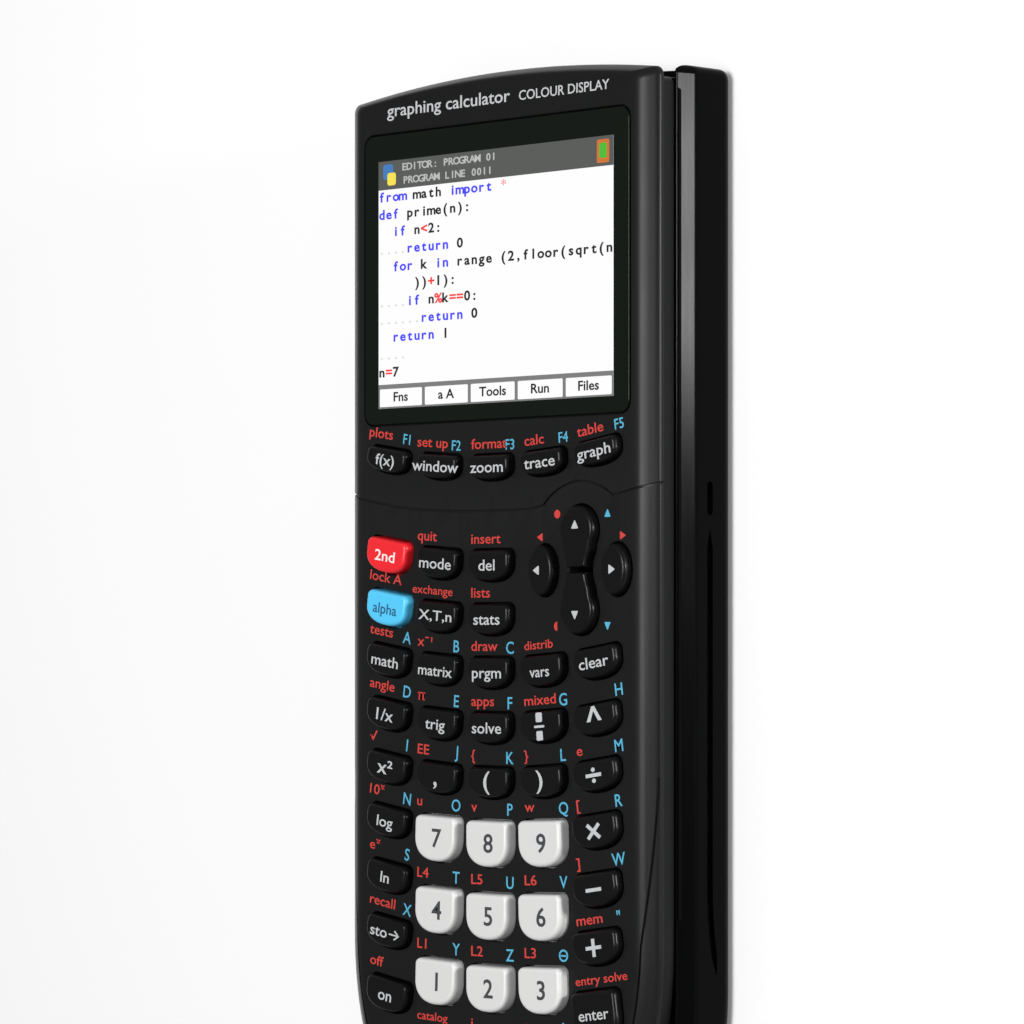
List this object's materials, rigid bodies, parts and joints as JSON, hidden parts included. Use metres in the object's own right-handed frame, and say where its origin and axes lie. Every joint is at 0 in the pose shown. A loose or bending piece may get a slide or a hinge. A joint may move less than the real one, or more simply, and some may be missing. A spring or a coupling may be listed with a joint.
{
  "type": "graphing calculator",
  "caption": "Handheld graphing calculator with a colour display, a full keypad with a cursor pad, and a hard slide cover stored on its back.",
  "frame": {"origin": "middle of the underside of the slide cover, which the calculator lies on when it is face up", "axes": "+Z out of the keys and the display, +Y to the display end along the calculator's length, +X to the right of someone reading it"},
  "size_m": [0.076, 0.1912, 0.0213],
  "materials": {
    "case": "satin",
    "cover": "gloss",
    "window": "gloss",
    "panel": "gloss",
    "board": "satin",
    "silicone": "matte",
    "battery": "satin",
    "steel": "satin",
    "key_black": "satin",
    "key_white": "satin",
    "key_red": "satin",
    "key_blue": "satin"
  },
  "bodies": {
    "housing": {"front_case": "case", "rear_case": "case", "display_window": "window", "display_module": "panel", "circuit_board": "board", "key_mat": "silicone", "battery_pack": "battery", "battery_door": "case", "usb_socket": "steel"},
    "cover": {"slide_cover": "cover"},
    "key_function": {"key_function": "key_black"},
    "key_window": {"key_window": "key_black"},
    "key_zoom": {"key_zoom": "key_black"},
    "key_trace": {"key_trace": "key_black"},
    "key_graph": {"key_graph": "key_black"},
    "key_second": {"key_second": "key_red"},
    "key_mode": {"key_mode": "key_black"},
    "key_delete": {"key_delete": "key_black"},
    "key_alpha": {"key_alpha": "key_blue"},
    "key_variable": {"key_variable": "key_black"},
    "key_statistics": {"key_statistics": "key_black"},
    "key_math": {"key_math": "key_black"},
    "key_matrix": {"key_matrix": "key_black"},
    "key_program": {"key_program": "key_black"},
    "key_variables": {"key_variables": "key_black"},
    "key_clear": {"key_clear": "key_black"},
    "key_inverse": {"key_inverse": "key_black"},
    "key_trig": {"key_trig": "key_black"},
    "key_solve": {"key_solve": "key_black"},
    "key_fraction": {"key_fraction": "key_black"},
    "key_power": {"key_power": "key_black"},
    "key_square": {"key_square": "key_black"},
    "key_comma": {"key_comma": "key_black"},
    "key_left_bracket": {"key_left_bracket": "key_black"},
    "key_right_bracket": {"key_right_bracket": "key_black"},
    "key_divide": {"key_divide": "key_black"},
    "key_log": {"key_log": "key_black"},
    "key_ln": {"key_ln": "key_black"},
    "key_store": {"key_store": "key_black"},
    "key_multiply": {"key_multiply": "key_black"},
    "key_subtract": {"key_subtract": "key_black"},
    "key_add": {"key_add": "key_black"},
    "key_7": {"key_7": "key_white"},
    "key_8": {"key_8": "key_white"},
    "key_9": {"key_9": "key_white"},
    "key_4": {"key_4": "key_white"},
    "key_5": {"key_5": "key_white"},
    "key_6": {"key_6": "key_white"},
    "key_1": {"key_1": "key_white"},
    "key_2": {"key_2": "key_white"},
    "key_3": {"key_3": "key_white"},
    "key_0": {"key_0": "key_white"},
    "key_point": {"key_point": "key_white"},
    "key_negate": {"key_negate": "key_white"},
    "key_on": {"key_on": "key_black"},
    "key_enter": {"key_enter": "key_black"},
    "key_left": {"key_left": "key_black"},
    "key_right": {"key_right": "key_black"},
    "key_up": {"key_up": "key_black"},
    "key_down": {"key_down": "key_black"}
  },
  "joints": [
    {"name": "cover_slide", "type": "slide", "parent": "housing", "child": "cover", "axis": [0, -1, 0], "range_m": [0, 0.19]},
    {"name": "key_function_press", "type": "slide", "parent": "housing", "child": "key_function", "axis": [0, 0, -1], "range_m": [0, 0.001], "stiffness_N_per_m": 500, "springref_m": -0.0006, "deforming": ["key_mat"]},
    {"name": "key_window_press", "type": "slide", "parent": "housing", "child": "key_window", "axis": [0, 0, -1], "range_m": [0, 0.001], "stiffness_N_per_m": 500, "springref_m": -0.0006, "deforming": ["key_mat"]},
    {"name": "key_zoom_press", "type": "slide", "parent": "housing", "child": "key_zoom", "axis": [0, 0, -1], "range_m": [0, 0.001], "stiffness_N_per_m": 500, "springref_m": -0.0006, "deforming": ["key_mat"]},
    {"name": "key_trace_press", "type": "slide", "parent": "housing", "child": "key_trace", "axis": [0, 0, -1], "range_m": [0, 0.001], "stiffness_N_per_m": 500, "springref_m": -0.0006, "deforming": ["key_mat"]},
    {"name": "key_graph_press", "type": "slide", "parent": "housing", "child": "key_graph", "axis": [0, 0, -1], "range_m": [0, 0.001], "stiffness_N_per_m": 500, "springref_m": -0.0006, "deforming": ["key_mat"]},
    {"name": "key_second_press", "type": "slide", "parent": "housing", "child": "key_second", "axis": [0, 0, -1], "range_m": [0, 0.001], "stiffness_N_per_m": 500, "springref_m": -0.0006, "deforming": ["key_mat"]},
    {"name": "key_mode_press", "type": "slide", "parent": "housing", "child": "key_mode", "axis": [0, 0, -1], "range_m": [0, 0.001], "stiffness_N_per_m": 500, "springref_m": -0.0006, "deforming": ["key_mat"]},
    {"name": "key_delete_press", "type": "slide", "parent": "housing", "child": "key_delete", "axis": [0, 0, -1], "range_m": [0, 0.001], "stiffness_N_per_m": 500, "springref_m": -0.0006, "deforming": ["key_mat"]},
    {"name": "key_alpha_press", "type": "slide", "parent": "housing", "child": "key_alpha", "axis": [0, 0, -1], "range_m": [0, 0.001], "stiffness_N_per_m": 500, "springref_m": -0.0006, "deforming": ["key_mat"]},
    {"name": "key_variable_press", "type": "slide", "parent": "housing", "child": "key_variable", "axis": [0, 0, -1], "range_m": [0, 0.001], "stiffness_N_per_m": 500, "springref_m": -0.0006, "deforming": ["key_mat"]},
    {"name": "key_statistics_press", "type": "slide", "parent": "housing", "child": "key_statistics", "axis": [0, 0, -1], "range_m": [0, 0.001], "stiffness_N_per_m": 500, "springref_m": -0.0006, "deforming": ["key_mat"]},
    {"name": "key_math_press", "type": "slide", "parent": "housing", "child": "key_math", "axis": [0, 0, -1], "range_m": [0, 0.001], "stiffness_N_per_m": 500, "springref_m": -0.0006, "deforming": ["key_mat"]},
    {"name": "key_matrix_press", "type": "slide", "parent": "housing", "child": "key_matrix", "axis": [0, 0, -1], "range_m": [0, 0.001], "stiffness_N_per_m": 500, "springref_m": -0.0006, "deforming": ["key_mat"]},
    {"name": "key_program_press", "type": "slide", "parent": "housing", "child": "key_program", "axis": [0, 0, -1], "range_m": [0, 0.001], "stiffness_N_per_m": 500, "springref_m": -0.0006, "deforming": ["key_mat"]},
    {"name": "key_variables_press", "type": "slide", "parent": "housing", "child": "key_variables", "axis": [0, 0, -1], "range_m": [0, 0.001], "stiffness_N_per_m": 500, "springref_m": -0.0006, "deforming": ["key_mat"]},
    {"name": "key_clear_press", "type": "slide", "parent": "housing", "child": "key_clear", "axis": [0, 0, -1], "range_m": [0, 0.001], "stiffness_N_per_m": 500, "springref_m": -0.0006, "deforming": ["key_mat"]},
    {"name": "key_inverse_press", "type": "slide", "parent": "housing", "child": "key_inverse", "axis": [0, 0, -1], "range_m": [0, 0.001], "stiffness_N_per_m": 500, "springref_m": -0.0006, "deforming": ["key_mat"]},
    {"name": "key_trig_press", "type": "slide", "parent": "housing", "child": "key_trig", "axis": [0, 0, -1], "range_m": [0, 0.001], "stiffness_N_per_m": 500, "springref_m": -0.0006, "deforming": ["key_mat"]},
    {"name": "key_solve_press", "type": "slide", "parent": "housing", "child": "key_solve", "axis": [0, 0, -1], "range_m": [0, 0.001], "stiffness_N_per_m": 500, "springref_m": -0.0006, "deforming": ["key_mat"]},
    {"name": "key_fraction_press", "type": "slide", "parent": "housing", "child": "key_fraction", "axis": [0, 0, -1], "range_m": [0, 0.001], "stiffness_N_per_m": 500, "springref_m": -0.0006, "deforming": ["key_mat"]},
    {"name": "key_power_press", "type": "slide", "parent": "housing", "child": "key_power", "axis": [0, 0, -1], "range_m": [0, 0.001], "stiffness_N_per_m": 500, "springref_m": -0.0006, "deforming": ["key_mat"]},
    {"name": "key_square_press", "type": "slide", "parent": "housing", "child": "key_square", "axis": [0, 0, -1], "range_m": [0, 0.001], "stiffness_N_per_m": 500, "springref_m": -0.0006, "deforming": ["key_mat"]},
    {"name": "key_comma_press", "type": "slide", "parent": "housing", "child": "key_comma", "axis": [0, 0, -1], "range_m": [0, 0.001], "stiffness_N_per_m": 500, "springref_m": -0.0006, "deforming": ["key_mat"]},
    {"name": "key_left_bracket_press", "type": "slide", "parent": "housing", "child": "key_left_bracket", "axis": [0, 0, -1], "range_m": [0, 0.001], "stiffness_N_per_m": 500, "springref_m": -0.0006, "deforming": ["key_mat"]},
    {"name": "key_right_bracket_press", "type": "slide", "parent": "housing", "child": "key_right_bracket", "axis": [0, 0, -1], "range_m": [0, 0.001], "stiffness_N_per_m": 500, "springref_m": -0.0006, "deforming": ["key_mat"]},
    {"name": "key_divide_press", "type": "slide", "parent": "housing", "child": "key_divide", "axis": [0, 0, -1], "range_m": [0, 0.001], "stiffness_N_per_m": 500, "springref_m": -0.0006, "deforming": ["key_mat"]},
    {"name": "key_log_press", "type": "slide", "parent": "housing", "child": "key_log", "axis": [0, 0, -1], "range_m": [0, 0.001], "stiffness_N_per_m": 500, "springref_m": -0.0006, "deforming": ["key_mat"]},
    {"name": "key_ln_press", "type": "slide", "parent": "housing", "child": "key_ln", "axis": [0, 0, -1], "range_m": [0, 0.001], "stiffness_N_per_m": 500, "springref_m": -0.0006, "deforming": ["key_mat"]},
    {"name": "key_store_press", "type": "slide", "parent": "housing", "child": "key_store", "axis": [0, 0, -1], "range_m": [0, 0.001], "stiffness_N_per_m": 500, "springref_m": -0.0006, "deforming": ["key_mat"]},
    {"name": "key_multiply_press", "type": "slide", "parent": "housing", "child": "key_multiply", "axis": [0, 0, -1], "range_m": [0, 0.001], "stiffness_N_per_m": 500, "springref_m": -0.0006, "deforming": ["key_mat"]},
    {"name": "key_subtract_press", "type": "slide", "parent": "housing", "child": "key_subtract", "axis": [0, 0, -1], "range_m": [0, 0.001], "stiffness_N_per_m": 500, "springref_m": -0.0006, "deforming": ["key_mat"]},
    {"name": "key_add_press", "type": "slide", "parent": "housing", "child": "key_add", "axis": [0, 0, -1], "range_m": [0, 0.001], "stiffness_N_per_m": 500, "springref_m": -0.0006, "deforming": ["key_mat"]},
    {"name": "key_7_press", "type": "slide", "parent": "housing", "child": "key_7", "axis": [0, 0, -1], "range_m": [0, 0.001], "stiffness_N_per_m": 500, "springref_m": -0.0006, "deforming": ["key_mat"]},
    {"name": "key_8_press", "type": "slide", "parent": "housing", "child": "key_8", "axis": [0, 0, -1], "range_m": [0, 0.001], "stiffness_N_per_m": 500, "springref_m": -0.0006, "deforming": ["key_mat"]},
    {"name": "key_9_press", "type": "slide", "parent": "housing", "child": "key_9", "axis": [0, 0, -1], "range_m": [0, 0.001], "stiffness_N_per_m": 500, "springref_m": -0.0006, "deforming": ["key_mat"]},
    {"name": "key_4_press", "type": "slide", "parent": "housing", "child": "key_4", "axis": [0, 0, -1], "range_m": [0, 0.001], "stiffness_N_per_m": 500, "springref_m": -0.0006, "deforming": ["key_mat"]},
    {"name": "key_5_press", "type": "slide", "parent": "housing", "child": "key_5", "axis": [0, 0, -1], "range_m": [0, 0.001], "stiffness_N_per_m": 500, "springref_m": -0.0006, "deforming": ["key_mat"]},
    {"name": "key_6_press", "type": "slide", "parent": "housing", "child": "key_6", "axis": [0, 0, -1], "range_m": [0, 0.001], "stiffness_N_per_m": 500, "springref_m": -0.0006, "deforming": ["key_mat"]},
    {"name": "key_1_press", "type": "slide", "parent": "housing", "child": "key_1", "axis": [0, 0, -1], "range_m": [0, 0.001], "stiffness_N_per_m": 500, "springref_m": -0.0006, "deforming": ["key_mat"]},
    {"name": "key_2_press", "type": "slide", "parent": "housing", "child": "key_2", "axis": [0, 0, -1], "range_m": [0, 0.001], "stiffness_N_per_m": 500, "springref_m": -0.0006, "deforming": ["key_mat"]},
    {"name": "key_3_press", "type": "slide", "parent": "housing", "child": "key_3", "axis": [0, 0, -1], "range_m": [0, 0.001], "stiffness_N_per_m": 500, "springref_m": -0.0006, "deforming": ["key_mat"]},
    {"name": "key_0_press", "type": "slide", "parent": "housing", "child": "key_0", "axis": [0, 0, -1], "range_m": [0, 0.001], "stiffness_N_per_m": 500, "springref_m": -0.0006, "deforming": ["key_mat"]},
    {"name": "key_point_press", "type": "slide", "parent": "housing", "child": "key_point", "axis": [0, 0, -1], "range_m": [0, 0.001], "stiffness_N_per_m": 500, "springref_m": -0.0006, "deforming": ["key_mat"]},
    {"name": "key_negate_press", "type": "slide", "parent": "housing", "child": "key_negate", "axis": [0, 0, -1], "range_m": [0, 0.001], "stiffness_N_per_m": 500, "springref_m": -0.0006, "deforming": ["key_mat"]},
    {"name": "key_on_press", "type": "slide", "parent": "housing", "child": "key_on", "axis": [0, 0, -1], "range_m": [0, 0.001], "stiffness_N_per_m": 500, "springref_m": -0.0006, "deforming": ["key_mat"]},
    {"name": "key_enter_press", "type": "slide", "parent": "housing", "child": "key_enter", "axis": [0, 0, -1], "range_m": [0, 0.001], "stiffness_N_per_m": 500, "springref_m": -0.0006, "deforming": ["key_mat"]},
    {"name": "key_left_press", "type": "slide", "parent": "housing", "child": "key_left", "axis": [0, 0, -1], "range_m": [0, 0.001], "stiffness_N_per_m": 500, "springref_m": -0.0006, "deforming": ["key_mat"]},
    {"name": "key_right_press", "type": "slide", "parent": "housing", "child": "key_right", "axis": [0, 0, -1], "range_m": [0, 0.001], "stiffness_N_per_m": 500, "springref_m": -0.0006, "deforming": ["key_mat"]},
    {"name": "key_up_press", "type": "slide", "parent": "housing", "child": "key_up", "axis": [0, 0, -1], "range_m": [0, 0.001], "stiffness_N_per_m": 500, "springref_m": -0.0006, "deforming": ["key_mat"]},
    {"name": "key_down_press", "type": "slide", "parent": "housing", "child": "key_down", "axis": [0, 0, -1], "range_m": [0, 0.001], "stiffness_N_per_m": 500, "springref_m": -0.0006, "deforming": ["key_mat"]}
  ]
}
